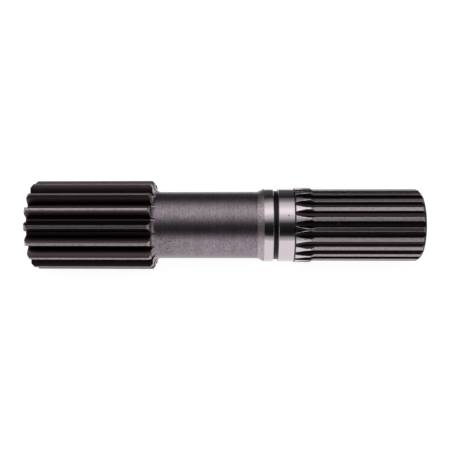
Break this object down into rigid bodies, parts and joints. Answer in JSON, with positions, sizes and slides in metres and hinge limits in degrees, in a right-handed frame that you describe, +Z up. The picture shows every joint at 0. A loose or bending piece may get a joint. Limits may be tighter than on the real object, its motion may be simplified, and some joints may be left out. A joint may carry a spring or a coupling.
{
  "type": "splined shaft",
  "caption": "Solid steel sun shaft for a planetary final drive: a spur pinion at one end, an involute spline at the other and a ground seat with a ring groove between.",
  "frame": {"origin": "under the middle of the shaft's length, at the level of the surface that its pinion teeth lie on", "axes": "+X along the shaft's axis towards the spline, +Z up, square to the surface that the shaft lies on"},
  "size_m": [0.244, 0.0556, 0.0556],
  "materials": {
    "shaft_steel": "heat-treated dark steel, satin turned neck, ground seat"
  },
  "bodies": {
    "root": {"splined_shaft": "shaft_steel"}
  },
  "joints": []
}
